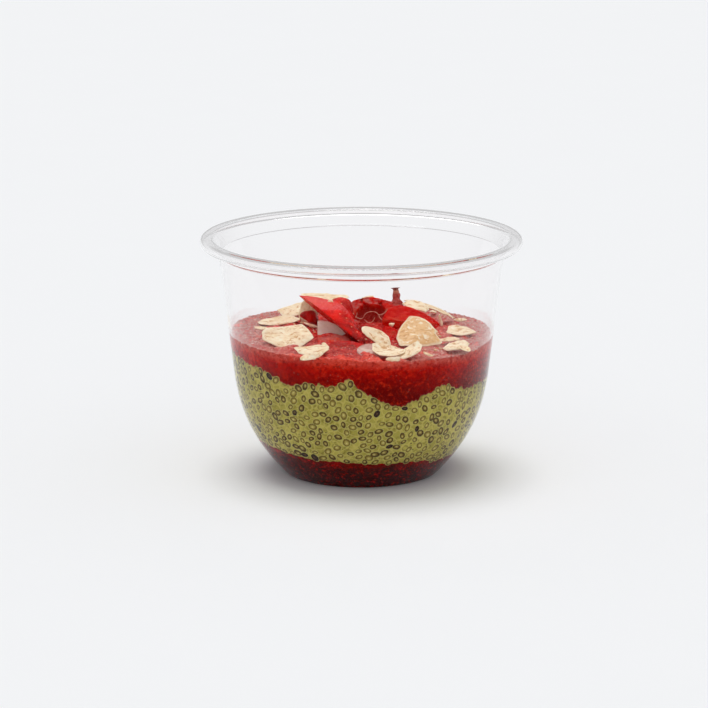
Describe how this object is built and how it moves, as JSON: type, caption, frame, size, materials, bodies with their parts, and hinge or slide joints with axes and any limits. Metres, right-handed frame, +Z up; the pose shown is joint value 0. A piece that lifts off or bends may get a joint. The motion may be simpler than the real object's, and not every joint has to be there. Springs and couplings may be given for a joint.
{
  "type": "chia pudding pot",
  "caption": "Clear squat pot with a rolled rim, filled with layers of fruit puree and chia pudding under strawberry pieces and almond flakes.",
  "frame": {"origin": "on the pot's axis, in the plane it stands on, which is the centre of the bottom of the bounding box", "axes": "+Z up along the pot's axis, -Y towards the side that the picture shows, +X to its right"},
  "size_m": [0.096, 0.096, 0.0713],
  "materials": {
    "clear_plastic": "clear glossy thermoformed sheet",
    "lower_puree": "wet dark red fruit puree",
    "chia_pudding": "green gel full of ringed chia seeds",
    "strawberry_puree": "wet bright red puree with a pale frothy top",
    "strawberry": "soft red steeped strawberry",
    "pale_strawberry": "pale translucent strawberry flesh",
    "almond": "dry lightly toasted almond flake"
  },
  "bodies": {
    "root": {"almond_flake_back_left": "almond", "almond_flake_back_long": "almond", "almond_flake_back_short": "almond", "almond_flake_front": "almond", "almond_flake_front_far_right": "almond", "almond_flake_front_left": "almond", "almond_flake_front_right": "almond", "almond_flake_large_left": "almond", "almond_flake_large_right": "almond", "almond_flake_leaning": "almond", "almond_flake_left": "almond", "almond_flake_right": "almond", "almond_flake_top": "almond", "almond_petal": "almond", "chia_pudding": "chia_pudding", "lower_puree": "lower_puree", "pot": "clear_plastic", "strawberry_centre_chunk": "strawberry", "strawberry_clear_slice": "pale_strawberry", "strawberry_dark_chunk": "strawberry", "strawberry_flat_slice_front": "strawberry", "strawberry_flat_slice_left": "strawberry", "strawberry_hollow_half": "strawberry", "strawberry_long_wedge": "strawberry", "strawberry_pale_slice": "pale_strawberry", "strawberry_puree": "strawberry_puree", "strawberry_right_wedge": "strawberry", "strawberry_small_chunk": "strawberry", "strawberry_stalk": "strawberry"}
  },
  "joints": []
}
